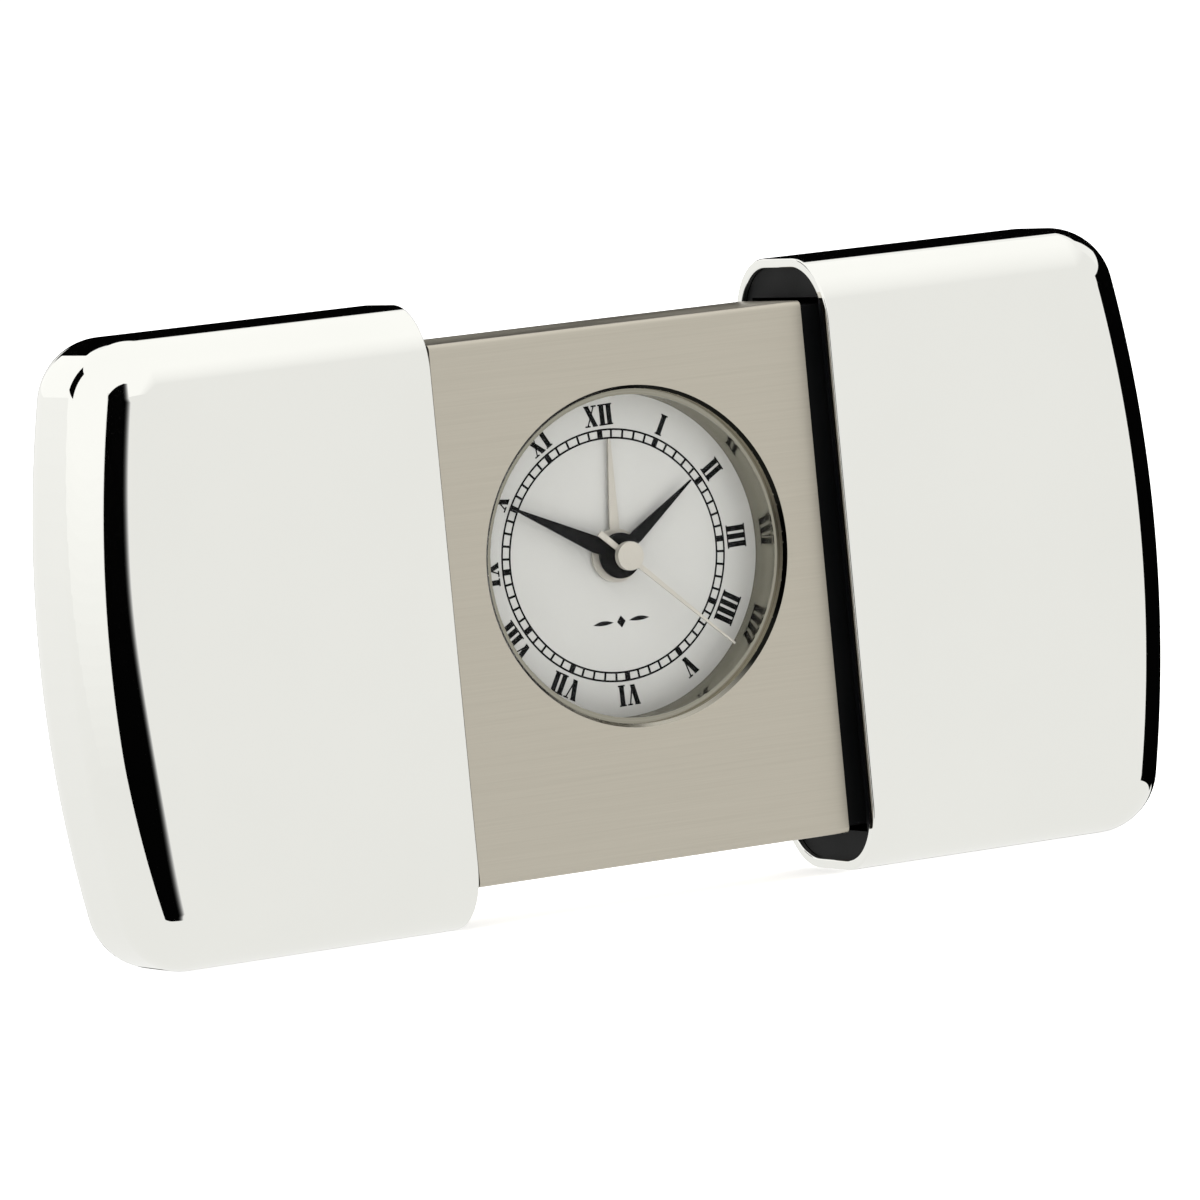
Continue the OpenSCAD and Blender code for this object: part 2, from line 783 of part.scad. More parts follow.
left_shell();
right_shell();
left_liner();
right_liner();
left_detent_spring();
right_detent_spring();
carrier_case();
face_plate();
crystal_bezel();
crystal();
reflector_ring();
dial();
rear_cover();
rear_cover_screws();
movement_front_plate();
movement_back_plate();
movement_screws();
stator();
coil_core();
coil_bobbin();
coil_winding();
rotor();
third_wheel();
seconds_wheel();
fourth_wheel();
centre_wheel();
cannon_pinion();
minute_wheel();
hour_wheel();
alarm_wheel();
circuit_board();
chip_blob();
quartz_can();
buzzer();
battery();
contact_positive();
contact_negative();
battery_cover();
time_set_knob();
alarm_set_knob();
alarm_switch();
hour_hand();
minute_hand();
second_hand();
alarm_hand();
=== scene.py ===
import json
import math

import bpy
from mathutils import Matrix, Vector


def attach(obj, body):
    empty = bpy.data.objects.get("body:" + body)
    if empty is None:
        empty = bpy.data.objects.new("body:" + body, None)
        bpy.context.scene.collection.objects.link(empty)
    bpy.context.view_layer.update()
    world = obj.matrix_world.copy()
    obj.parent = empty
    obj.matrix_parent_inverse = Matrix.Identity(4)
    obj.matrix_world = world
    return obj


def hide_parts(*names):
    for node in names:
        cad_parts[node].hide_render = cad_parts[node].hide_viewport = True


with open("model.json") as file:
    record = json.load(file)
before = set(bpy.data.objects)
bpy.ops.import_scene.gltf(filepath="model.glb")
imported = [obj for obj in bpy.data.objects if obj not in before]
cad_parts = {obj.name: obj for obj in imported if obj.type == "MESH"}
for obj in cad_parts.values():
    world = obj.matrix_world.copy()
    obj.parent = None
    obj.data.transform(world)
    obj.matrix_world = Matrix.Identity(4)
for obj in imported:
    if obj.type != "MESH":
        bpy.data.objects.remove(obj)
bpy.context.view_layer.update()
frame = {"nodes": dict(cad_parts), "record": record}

scene = bpy.context.scene
MM = 0.001
DIAL_Z = 34.8  # height of the dial's centre, mm


# ---------------------------------------------------------------- materials

def lin(rgb):
    """sRGB 0..255 to linear, with alpha."""
    out = []
    for v in rgb:
        c = v / 255.0
        out.append(c / 12.92 if c <= 0.04045 else ((c + 0.055) / 1.055) ** 2.4)
    return (*out, 1.0)


class Mat:
    """A Principled material and the few nodes that its patterns are made of."""

    def __init__(self, name, rgb, rough=0.5, metal=0.0, **sockets):
        self.mat = bpy.data.materials.new(name)
        self.mat.use_nodes = True
        self.nodes = self.mat.node_tree.nodes
        self.links = self.mat.node_tree.links
        self.bsdf = self.nodes["Principled BSDF"]
        self.bsdf.inputs["Base Color"].default_value = lin(rgb)
        self.bsdf.inputs["Roughness"].default_value = rough
        self.bsdf.inputs["Metallic"].default_value = metal
        for key, value in sockets.items():
            self.bsdf.inputs[key.replace("_", " ")].default_value = value

    def add(self, kind, **props):
        """A new node with its properties set."""
        node = self.nodes.new(kind)
        for key, value in props.items():
            setattr(node, key, value)
        return node

    def coords(self, scale=(1, 1, 1), turn=(0, 0, 0)):
        """Object coordinates in millimetres, scaled and turned."""
        tex = self.add("ShaderNodeTexCoord")
        mapping = self.add("ShaderNodeMapping")
        mapping.inputs["Scale"].default_value = [1000 * s for s in scale]
        mapping.inputs["Rotation"].default_value = turn
        self.links.new(tex.outputs["Object"], mapping.inputs["Vector"])
        return mapping.outputs["Vector"]

    def noise(self, vector, scale, detail=3.0, rough=0.55):
        """Fractal noise; scale is in cells per millimetre."""
        node = self.add("ShaderNodeTexNoise")
        node.inputs["Scale"].default_value = scale
        node.inputs["Detail"].default_value = detail
        node.inputs["Roughness"].default_value = rough
        self.links.new(vector, node.inputs["Vector"])
        return node.outputs["Fac"]

    def ramp(self, fac, stops):
        """Colours from stops, each a place from 0 to 1 and a linear colour."""
        node = self.add("ShaderNodeValToRGB")
        bar = node.color_ramp
        while len(bar.elements) < len(stops):
            bar.elements.new(0.5)
        for element, (at, colour) in zip(bar.elements, stops):
            element.position = at
            element.color = colour
        self.links.new(fac, node.inputs["Fac"])
        return node.outputs["Color"]

    def grey(self, fac, low, high, at=(0.3, 0.7)):
        """A value from low to high as fac goes from at[0] to at[1]."""
        return self.ramp(fac, [
            (at[0], (low, low, low, 1)),
            (at[1], (high, high, high, 1)),
        ])

    def colour(self, fac, rgb_a, rgb_b, at=(0.3, 0.7)):
        out = self.ramp(fac, [(at[0], lin(rgb_a)), (at[1], lin(rgb_b))])
        self.links.new(out, self.bsdf.inputs["Base Color"])

    def rough(self, fac, low, high, at=(0.3, 0.7)):
        self.links.new(self.grey(fac, low, high, at), self.bsdf.inputs["Roughness"])

    def bump(self, fac, strength, distance):
        """Relief of a depth given by distance, in metres."""
        node = self.add("ShaderNodeBump")
        node.inputs["Strength"].default_value = strength
        node.inputs["Distance"].default_value = distance
        self.links.new(fac, node.inputs["Height"])
        self.links.new(node.outputs["Normal"], self.bsdf.inputs["Normal"])


def moulded(name, rgb, rough=0.42, grain=1.6, depth=0.25, shift=10, shine=0.5):
    """Moulded plastic: fine spark-eroded grain and slightly uneven gloss."""
    m = Mat(name, rgb, rough, 0.0, Specular_IOR_Level=shine)
    at = m.coords()
    fine = m.noise(at, grain, detail=4.0, rough=0.6)
    broad = m.noise(at, 0.09, detail=2.0)
    m.colour(broad, rgb, [min(255, c + shift) for c in rgb])
    m.rough(broad, rough - 0.06, rough + 0.08)
    m.bump(fine, depth, 0.04 * MM)
    return m.mat


def metal(name, rgb_a, rgb_b, rough, scale=(1, 1, 1), grain=2.0, depth=0.15):
    """Machined or rolled metal with a grain along the axis scaled least."""
    m = Mat(name, rgb_a, rough, 1.0)
    at = m.coords(scale)
    fine = m.noise(at, grain, detail=4.0, rough=0.6)
    m.colour(fine, rgb_a, rgb_b)
    m.rough(fine, rough - 0.05, rough + 0.09)
    m.bump(fine, depth, 0.02 * MM)
    return m.mat


def turned(name, rgb_a, rgb_b, rough, centre, pitch=14.0, depth=0.2):
    """Lathe-turned metal: fine rings about an axis along Y through centre (mm)."""
    m = Mat(name, rgb_a, rough, 1.0)
    tex = m.add("ShaderNodeTexCoord")
    shift = m.add("ShaderNodeVectorMath", operation="SUBTRACT")
    shift.inputs[1].default_value = (centre[0] * MM, 0, centre[1] * MM)
    flat = m.add("ShaderNodeVectorMath", operation="MULTIPLY")
    flat.inputs[1].default_value = (1000, 0, 1000)
    length = m.add("ShaderNodeVectorMath", operation="LENGTH")
    wave = m.add("ShaderNodeTexNoise", noise_dimensions="1D")
    wave.inputs["Scale"].default_value = pitch
    wave.inputs["Detail"].default_value = 2.0
    m.links.new(tex.outputs["Object"], shift.inputs[0])
    m.links.new(shift.outputs[0], flat.inputs[0])
    m.links.new(flat.outputs[0], length.inputs[0])
    m.links.new(length.outputs["Value"], wave.inputs["W"])
    fac = wave.outputs["Fac"]
    m.colour(fac, rgb_a, rgb_b)
    m.rough(fac, rough - 0.05, rough + 0.08)
    m.bump(fac, depth, 0.02 * MM)
    return m.mat


def silver():
    """Mirror-polished plate: faint wiping haze, hairlines and a warm cast."""
    m = Mat("polished_silver", (236, 236, 232), 0.03, 1.0)
    at = m.coords()
    haze = m.noise(at, 0.045, detail=4.0, rough=0.6)
    along = m.coords(scale=(0.12, 1.4, 2.6), turn=(0.0, 0.5, 0.2))
    hair = m.noise(along, 1.2, detail=5.0, rough=0.7)
    m.colour(haze, (237, 237, 233), (239, 239, 235))
    mixed = m.add("ShaderNodeMath", operation="MULTIPLY")
    m.links.new(haze, mixed.inputs[0])
    m.links.new(hair, mixed.inputs[1])
    m.rough(mixed.outputs[0], 0.02, 0.045, at=(0.2, 0.45))
    return m.mat


def brushed():
    """Brushed nickel: long horizontal strokes in colour, gloss and relief."""
    m = Mat("brushed_nickel", (200, 193, 180), 0.32, 1.0)
    strokes = m.noise(m.coords(scale=(0.05, 1.0, 5.0)), 1.0, detail=5.0, rough=0.65)
    fine = m.noise(m.coords(scale=(0.16, 1.0, 14.0)), 1.0, rough=0.6)
    both = m.add("ShaderNodeMath", operation="MULTIPLY_ADD")
    both.inputs[1].default_value = 0.6  # how much the fine strokes add to the broad ones
    m.links.new(fine, both.inputs[0])
    m.links.new(strokes, both.inputs[2])
    level = both.outputs[0]
    m.colour(level, (188, 182, 169), (195, 189, 176), at=(0.5, 1.1))
    m.rough(level, 0.28, 0.36, at=(0.5, 1.1))
    m.bump(level, 0.16, 0.01 * MM)
    m.bsdf.inputs["Anisotropic"].default_value = 0.35
    return m.mat


def dial_paint():
    """Silvered dial: very fine grain and a slightly uneven tone."""
    m = Mat("dial_silver", (214, 213, 208), 0.45, 0.0)
    at = m.coords()
    fine = m.noise(at, 7.0)
    broad = m.noise(at, 0.12, detail=2.0)
    m.colour(broad, (191, 191, 187), (195, 195, 191))
    m.rough(fine, 0.4, 0.52)
    m.bump(fine, 0.1, 0.01 * MM)
    return m.mat


def glass():
    """Clear mineral crystal."""
    m = Mat("crystal_clear", (252, 252, 252), 0.02, 0.0)
    m.bsdf.inputs["Transmission Weight"].default_value = 1.0
    m.bsdf.inputs["IOR"].default_value = 1.1
    at = m.coords()
    m.rough(m.noise(at, 0.2), 0.0, 0.012)
    return m.mat


def copper():
    """Layers of enamelled wire wound along X about the core."""
    m = Mat("copper_wire", (176, 96, 52), 0.3, 1.0)
    wave = m.add("ShaderNodeTexWave", wave_type="BANDS", bands_direction="X")
    wave.inputs["Scale"].default_value = 3.2
    wave.inputs["Distortion"].default_value = 0.4
    m.links.new(m.coords(), wave.inputs["Vector"])
    m.colour(wave.outputs["Fac"], (96, 44, 22), (190, 104, 58), at=(0.1, 0.8))
    m.rough(wave.outputs["Fac"], 0.25, 0.5)
    m.bump(wave.outputs["Fac"], 0.8, 0.06 * MM)
    return m.mat


def board():
    """Solder mask over a glass weave."""
    m = Mat("board_green", (22, 78, 44), 0.35, 0.0)
    at = m.coords()
    weave = m.add("ShaderNodeTexWave", wave_type="BANDS", bands_direction="DIAGONAL")
    weave.inputs["Scale"].default_value = 2.4
    weave.inputs["Distortion"].default_value = 1.2
    m.links.new(at, weave.inputs["Vector"])
    m.colour(weave.outputs["Fac"], (18, 66, 38), (30, 92, 54))
    m.bump(weave.outputs["Fac"], 0.3, 0.04 * MM)
    m.rough(m.noise(at, 0.8), 0.3, 0.45)
    return m.mat


MATERIALS = {
    "polished_silver": silver(),
    "liner_black": moulded("liner_black", (5, 6, 8), 0.5, shift=3, shine=0.12),
    "spring_steel": metal("spring_steel", (150, 152, 152), (184, 184, 182), 0.28,
                          scale=(0.2, 1, 4)),
    "case_black": moulded("case_black", (5, 6, 7), 0.5, shift=3, shine=0.14),
    "brushed_nickel": brushed(),
    "crystal_clear": glass(),
    "reflector_chrome": turned("reflector_chrome", (146, 143, 130), (154, 151, 139),
                               0.1, (0, DIAL_Z), pitch=6.0, depth=0.05),
    "dial_silver": dial_paint(),
    "steel_screw": metal("steel_screw", (128, 129, 130), (168, 168, 166), 0.26),
    "movement_grey": moulded("movement_grey", (92, 95, 97), 0.5, grain=1.2, shift=12),
    "stator_iron": metal("stator_iron", (112, 112, 110), (146, 146, 142), 0.34,
                         scale=(0.3, 1, 3)),
    "bobbin_blue": moulded("bobbin_blue", (28, 62, 120), 0.4),
    "copper_wire": copper(),
    "magnet_dark": metal("magnet_dark", (52, 52, 56), (76, 76, 80), 0.45),
    "wheel_brass": turned("wheel_brass", (176, 140, 66), (206, 172, 96), 0.24,
                          (0, DIAL_Z)),
    "wheel_nylon": moulded("wheel_nylon", (214, 206, 184), 0.5, grain=1.0, depth=0.2,
                           shift=8),
    "pipe_nickel": metal("pipe_nickel", (176, 174, 168), (204, 202, 196), 0.2),
    "board_green": board(),
    "epoxy_black": moulded("epoxy_black", (9, 9, 10), 0.16, grain=0.5, depth=0.3, shift=4),
    "can_tin": metal("can_tin", (164, 166, 168), (196, 198, 198), 0.22,
                     scale=(1, 1, 0.3)),
    "buzzer_black": moulded("buzzer_black", (16, 17, 18), 0.34),
    "cell_steel": metal("cell_steel", (168, 170, 172), (198, 200, 200), 0.24),
    "contact_gilt": metal("contact_gilt", (184, 150, 78), (214, 182, 108), 0.25,
                          scale=(0.3, 1, 3)),
    "knob_black": moulded("knob_black", (17, 18, 19), 0.38),
    "switch_red": moulded("switch_red", (150, 22, 18), 0.36),
    "hand_black": moulded("hand_black", (5, 5, 6), 0.45, grain=2.0, depth=0.08, shift=3,
                          shine=0.08),
    "hand_cream": moulded("hand_cream", (179, 175, 165), 0.4, grain=2.0, depth=0.08,
                          shift=5, shine=0.3),
}

# Every CAD piece gets the material of its slot
for sub in frame["record"]["subparts"]:
    data = frame["nodes"][sub["node"]].data
    if not data.materials:
        data.materials.append(None)
    for i in range(len(data.materials)):
        data.materials[i] = MATERIALS[sub["material_slot"]]


# ---------------------------------------------------------------- mesh tools

def piece(name, verts, faces, slot, body, replaces=(), normals=None):
    """A mesh piece in millimetres that rides on a body."""
    mesh = bpy.data.meshes.new(name)
    mesh.from_pydata([Vector(v) * MM for v in verts], [], faces)
    mesh.validate(clean_customdata=False)
    mesh.materials.append(MATERIALS[slot])
    if normals is not None:
        mesh.shade_smooth()
        mesh.normals_split_custom_set_from_vertices(normals)
    obj = bpy.data.objects.new(name, mesh)
    scene.collection.objects.link(obj)
    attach(obj, body)
    if replaces:
        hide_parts(*replaces)
    return obj


# ---------------------------------------------------------------- shells

# A shell is a flat core, rounded by SHELL_R all round its edge; its end is bowed
MID_Z = 31.2  # middle of the clock's height
SHELL_R = 6.7
WALL = 1.0
CORE_Y = 2.75  # half-sizes of the core
CORE_Z = 24.5
MOUTH_X = 22.55
TIP_X = 61.49
BOW_R = 125.0
BOW_X = TIP_X - SHELL_R - BOW_R
BOW = math.asin(CORE_Z / BOW_R)
CORNER_X = BOW_X + BOW_R * math.cos(BOW)
RIM_R = 0.2


def shell_outline():
    """Stations along the outline of the shell's core: (x, z, angle of normal)."""
    out = []
    lengths = 14
    for i in range(lengths + 1):
        x = MOUTH_X + RIM_R + (CORNER_X - MOUTH_X - RIM_R) * i / lengths
        out.append((x, -CORE_Z, -math.pi / 2))
    steps = 28
    for i in range(1, steps + 1):
        a = -math.pi / 2 + (math.pi / 2 - BOW) * i / steps
        out.append((CORNER_X, -CORE_Z, a))
    steps = 64
    for i in range(1, steps + 1):
        a = -BOW + 2 * BOW * i / steps
        out.append((BOW_X + BOW_R * math.cos(a), BOW_R * math.sin(a), a))
    mirrored = [(x, -z, -a) for x, z, a in out if a < -BOW]
    return out + mirrored[::-1]


def section():
    """Stations from front to back round the edge: (y of the core, angle)."""
    steps = 28
    front = [(-CORE_Y, -math.pi / 2 * (1 - i / steps)) for i in range(steps + 1)]
    back = [(CORE_Y, math.pi / 2 * i / steps) for i in range(steps + 1)]
    return front + back


def build_shell(name, side, body, replaced):
    """One polished shell, with its thin wall and rounded rim at the mouth."""
    verts, normals, faces, index = [], [], [], {}

    def vertex(p, n):
        """Number of the vertex at p with normal n, shared where it exists already."""
        key = tuple(round(c, 5) for c in (*p, *n))
        if key not in index:
            index[key] = len(verts)
            verts.append((side * p[0], p[1], p[2] + MID_Z))
            normals.append(Vector((side * n[0], n[1], n[2])).normalized())
        return index[key]

    def face(ids):
        """A face turned to its vertices' normals, left out if it has no area."""
        ids = [v for k, v in enumerate(ids) if v != ids[k - 1]]
        if len(ids) < 3 or len(set(ids)) < 3:
            return
        area = Vector((0, 0, 0))
        for k, v in enumerate(ids):
            area += Vector(verts[ids[k - 1]]).cross(Vector(verts[v]))
        facing = sum((normals[v] for v in ids), Vector((0, 0, 0)))
        faces.append(ids if area.dot(facing) > 0 else ids[::-1])

    # Outer and inner skin
    outline = shell_outline()
    ring = section()
    for wall, flip in ((0.0, 1), (WALL, -1)):
        r = SHELL_R - wall
        grid = []
        for x, z, a in outline:
            row = []
            for y, b in ring:
                n = (math.cos(b) * math.cos(a), math.sin(b), math.cos(b) * math.sin(a))
                p = (x + r * n[0], y + r * n[1], z + r * n[2])
                row.append(vertex(p, [flip * c for c in n]))
            grid.append(row)
        for i in range(len(grid) - 1):
            for j in range(len(ring) - 1):
                face([grid[i][j], grid[i + 1][j], grid[i + 1][j + 1], grid[i][j + 1]])
        face([row[0] for row in grid])
        face([row[-1] for row in grid])
    # Loop round the mouth: point of the core and outward direction, both as (y, z)
    loop = []
    for z, a in ((-CORE_Z, -math.pi / 2), (CORE_Z, math.pi / 2)):
        part = [((y, z), (math.sin(b), math.cos(b) * math.sin(a))) for y, b in ring]
        loop += part if z < 0 else part[::-1]
    # Rounded rim, from the outer skin over the lip to the inner skin
    steps = 8
    rows = []
    for i in range(2 * steps + 2):
        outer = i <= steps
        t = math.pi / 2 * (i if outer else 2 * steps + 1 - i) / steps
        drop = RIM_R * (1 - math.cos(t)) if outer else WALL - RIM_R * (1 - math.cos(t))
        x = MOUTH_X + RIM_R * (1 - math.sin(t))
        tilt = math.cos(t) if outer else -math.cos(t)
        row = []
        for (y, z), (out_y, out_z) in loop:
            p = (x, y + (SHELL_R - drop) * out_y, z + (SHELL_R - drop) * out_z)
            row.append(vertex(p, (-math.sin(t), tilt * out_y, tilt * out_z)))
        rows.append(row)
    for upper, lower in zip(rows, rows[1:]):
        for k in range(len(loop)):
            n = (k + 1) % len(loop)
            face([upper[k], upper[n], lower[n], lower[k]])
    piece(name, verts, faces, "polished_silver", body, replaced, normals)


build_shell("shell_left", -1, "left_half", ("left_shell",))
build_shell("shell_right", 1, "right_half", ("right_shell",))


# ---------------------------------------------------------------- opening

PLATE_Y = -6.6
OPENING_R = 17.1
CHAMFER = 0.35
# painted shade: the cut edge is dark to stand in for the shadow gap and dark surroundings that
# it mirrors
CHAMFER_PAINTED_SHADE = (24, 24, 21)
# painted highlight: the lowest part of the cut edge turns bright to stand in for the bright
# overhead that it mirrors
CHAMFER_PAINTED_HIGHLIGHT = (176, 172, 160)
HIGHLIGHT_BELOW = 12.0  # how far below the dial's centre the painted highlight on the cut edge begins
CLEAR_R = 0.006  # the cone is drawn just clear of the plate's own surface
CLEAR_Y = 0.002


def chamfer_painted_light():
    """Cut edge of the plate in painted shade, with a painted highlight of the bright overhead
    along its lowest part.
    """
    m = Mat("chamfer_painted_light", CHAMFER_PAINTED_SHADE, 0.14, 1.0)
    tex = m.add("ShaderNodeTexCoord")
    split = m.add("ShaderNodeSeparateXYZ")
    level = m.add("ShaderNodeMapRange")
    level.inputs["From Min"].default_value = (DIAL_Z - HIGHLIGHT_BELOW) * MM
    level.inputs["From Max"].default_value = (DIAL_Z - OPENING_R) * MM
    m.links.new(tex.outputs["Object"], split.inputs[0])
    m.links.new(split.outputs["Z"], level.inputs["Value"])
    # Painted light: painted shade above, turning to a painted highlight towards the bottom
    m.colour(level.outputs["Result"], CHAMFER_PAINTED_SHADE, CHAMFER_PAINTED_HIGHLIGHT, at=(0.0, 1.0))
    m.rough(m.noise(m.coords(), 1.4), 0.12, 0.2)
    return m.mat


def build_chamfer():
    """Cone that lines the edge of the dial opening."""
    verts, normals, faces = [], [], []
    steps = 192
    rows = [
        (OPENING_R - CLEAR_R, PLATE_Y - CLEAR_Y),
        (OPENING_R - CHAMFER - CLEAR_R, PLATE_Y + CHAMFER),
    ]
    for i in range(steps):
        a = 2 * math.pi * i / steps
        out = (math.sin(a), math.cos(a))
        for r, y in rows:
            verts.append((r * out[0], y, DIAL_Z + r * out[1]))
            normals.append(Vector((-out[0], -1, -out[1])).normalized())
    for i in range(steps):
        k = (i + 1) % steps
        faces.append((2 * i, 2 * i + 1, 2 * k + 1, 2 * k))
    cone = piece("opening_chamfer", verts, faces, "reflector_chrome", "carrier",
                 normals=normals)
    cone.data.materials[0] = chamfer_painted_light()


build_chamfer()


# ---------------------------------------------------------------- dial print

DIAL_Y = -1.44
PRINT_Y = DIAL_Y - 0.012
PRINT_TURN = -1.3  # the print sits a little off upright, in degrees


def on_dial(u, v, turn=0.0):
    """Point of the dial from u right and v up, turned clockwise by degrees."""
    a = math.radians(turn + PRINT_TURN)
    x = u * math.cos(a) + v * math.sin(a)
    z = -u * math.sin(a) + v * math.cos(a)
    return (x, PRINT_Y, DIAL_Z + z)


class Print:
    """Flat polygons printed on the dial."""

    def __init__(self):
        self.verts = []
        self.faces = []

    def poly(self, points, turn=0.0):
        """A polygon of (u, v) points, turned clockwise by degrees."""
        start = len(self.verts)
        self.verts += [on_dial(u, v, turn) for u, v in points]
        self.faces.append(list(range(start, start + len(points))))

    def ring(self, r0, r1, steps=240):
        """A ring from radius r0 to r1."""
        for i in range(steps):
            a = 2 * math.pi * i / steps
            b = 2 * math.pi * (i + 1) / steps
            self.poly([
                (r0 * math.sin(a), r0 * math.cos(a)),
                (r1 * math.sin(a), r1 * math.cos(a)),
                (r1 * math.sin(b), r1 * math.cos(b)),
                (r0 * math.sin(b), r0 * math.cos(b)),
            ])

    def tick(self, turn, r0, r1, half):
        """A radial stroke from r0 to r1 at an angle, of one half-width."""
        self.poly([(-half, r0), (-half, r1), (half, r1), (half, r0)], turn)


NUMERAL_R0 = 13.05  # radii between which the numerals stand
NUMERAL_R1 = 15.2
STEM = 0.27  # half-widths of a thick and a thin stroke
HAIR = 0.08
LEAN = 0.42  # how far a slanting stroke's end stands off the letter's middle
V_LEAN = 0.44  # the same for the thin stroke of V
V_FOOT = 0.02  # how far the foot of V stands off its middle
SERIF = 0.16  # height of a serif
X_SERIF = 0.3  # half-widths of the serifs of X, and of V at the left and right
V_SERIFS = (0.32, 0.28)
WIDTH = {"I": 0.8, "V": 1.72, "X": 1.76}
NUMERALS = ["XII", "I", "II", "III", "IIII", "V", "VI", "VII", "VIII", "IX", "X", "XI"]


def stroke(ink, turn, low, high, half):
    """A straight stroke from (x, y) low to high, of one half-width along x."""
    ink.poly([
        (low[0] - half, low[1]),
        (high[0] - half, high[1]),
        (high[0] + half, high[1]),
        (low[0] + half, low[1]),
    ], turn)


def serif(ink, turn, x, y, half):
    """A serif centred on (x, y), of one half-width."""
    ink.poly([
        (x - half, y - SERIF / 2),
        (x - half, y + SERIF / 2),
        (x + half, y + SERIF / 2),
        (x + half, y - SERIF / 2),
    ], turn)


def numeral(ink, text, turn):
    """A roman numeral that stands radially at an angle."""
    total = sum(WIDTH[c] for c in text)
    x = -total / 2
    low = NUMERAL_R0 + SERIF / 2
    high = NUMERAL_R1 - SERIF / 2
    for c in text:
        mid = x + WIDTH[c] / 2
        half = WIDTH[c] / 2
        if c == "I":
            stroke(ink, turn, (mid, low), (mid, high), STEM)
            serif(ink, turn, mid, low, half)
            serif(ink, turn, mid, high, half)
        if c == "V":
            stroke(ink, turn, (mid + V_FOOT, low), (mid - LEAN, high), STEM)
            stroke(ink, turn, (mid + V_FOOT, low), (mid + V_LEAN, high), HAIR)
            serif(ink, turn, mid - LEAN, high, V_SERIFS[0])
            serif(ink, turn, mid + V_LEAN, high, V_SERIFS[1])
        if c == "X":
            stroke(ink, turn, (mid + LEAN, low), (mid - LEAN, high), STEM)
            stroke(ink, turn, (mid - LEAN, low), (mid + LEAN, high), HAIR)
            for sx in (-LEAN, LEAN):
                serif(ink, turn, mid + sx, low, X_SERIF)
                serif(ink, turn, mid + sx, high, X_SERIF)
        x += WIDTH[c]


def build_numerals():
    ink = Print()
    for hour, text in enumerate(NUMERALS):
        numeral(ink, text, 30 * hour)
    piece("dial_numerals", ink.verts, ink.faces, "hand_black", "carrier")


TRACK_INNER = (11.68, 11.88)  # radii of the minute track's two printed rings
TRACK_OUTER = (12.54, 12.74)
TICK_OVERLAP = 0.03  # how far a tick runs into either ring
HOUR_TICK = 0.3  # half-widths of the ticks
MINUTE_TICK = 0.12


def build_track():
    ink = Print()
    ink.ring(*TRACK_INNER)
    ink.ring(*TRACK_OUTER)
    for minute in range(60):
        half = HOUR_TICK if minute % 5 == 0 else MINUTE_TICK
        ink.tick(6 * minute, TRACK_INNER[1] - TICK_OVERLAP, TRACK_OUTER[0] + TICK_OVERLAP, half)
    piece("dial_minute_track", ink.verts, ink.faces, "hand_black", "carrier")


ORNAMENT_V = -6.7  # height over the dial's centre
LOZENGE_U = 0.5  # half-sizes of the lozenge
LOZENGE_V = 0.62
LEAF_U = 0.85  # where a leaf begins
LEAF_LENGTH = 2.4
LEAF_UP = 0.3  # how far it bulges up and down
LEAF_DOWN = 0.16


def build_ornament():
    """A small plain flourish below the centre: a lozenge between two leaves."""
    ink = Print()
    v = ORNAMENT_V
    lozenge = [(0, v - LOZENGE_V), (-LOZENGE_U, v), (0, v + LOZENGE_V), (LOZENGE_U, v)]
    ink.poly(lozenge)
    for s in (-1, 1):
        leaf = []
        steps = 12
        for i in range(steps + 1):
            t = i / steps
            leaf.append((s * (LEAF_U + LEAF_LENGTH * t), v + LEAF_UP * math.sin(math.pi * t)))
        for i in range(steps - 1, 0, -1):
            t = i / steps
            leaf.append((s * (LEAF_U + LEAF_LENGTH * t), v - LEAF_DOWN * math.sin(math.pi * t)))
        ink.poly(leaf)
    piece("dial_ornament", ink.verts, ink.faces, "hand_black", "carrier")


build_numerals()
build_track()
build_ornament()


# ---------------------------------------------------------------- camera

# The camera stands low in front on the left and is rolled; the clock itself stands level
camera_data = bpy.data.cameras.new("camera")
camera_data.lens = 296.28
camera_data.sensor_width = 36.0
camera_data.clip_start = 0.01
camera_data.clip_end = 50.0
camera = bpy.data.objects.new("camera", camera_data)
scene.collection.objects.link(camera)
right = Vector((0.87528, -0.47425, -0.09469))
up = Vector((0.11850, 0.02048, 0.99274))
back = Vector((-0.46887, -0.88015, 0.07412))
eye = Vector((-0.46571, -0.87188, 0.10383))
camera.matrix_world = Matrix.Translation(eye) @ Matrix((right, up, back)).transposed().to_4x4()
scene.camera = camera


# ---------------------------------------------------------------- studio

scene.view_settings.view_transform = "Standard"
world = bpy.data.worlds.new("studio")
world.use_nodes = True
sky = world.node_tree.nodes["Background"]
sky.inputs["Color"].default_value = (1.0, 0.998, 0.99, 1)
sky.inputs["Strength"].default_value = 1.1
scene.world = world


def stage_mesh(name, verts, faces, material):
    """A mesh of the studio, in metres."""
    mesh = bpy.data.meshes.new(name)
    mesh.from_pydata(verts, [], faces)
    mesh.materials.append(material)
    obj = bpy.data.objects.new(name, mesh)
    scene.collection.objects.link(obj)
    return obj


def emitter(name, rgb, strength=1.0):
    """A material that glows evenly in one colour."""
    mat = bpy.data.materials.new(name)
    mat.use_nodes = True
    nodes = mat.node_tree.nodes
    nodes.remove(nodes["Principled BSDF"])
    glow = nodes.new("ShaderNodeEmission")
    glow.inputs["Color"].default_value = lin(rgb)
    glow.inputs["Strength"].default_value = strength
    mat.node_tree.links.new(glow.outputs[0], nodes["Material Output"].inputs["Surface"])
    return mat


def only_in_reflections(obj):
    """Hide a studio mesh from everything but the rays that polished surfaces reflect."""
    obj.visible_camera = False
    obj.visible_diffuse = False
    obj.visible_shadow = False
    obj.visible_transmission = False


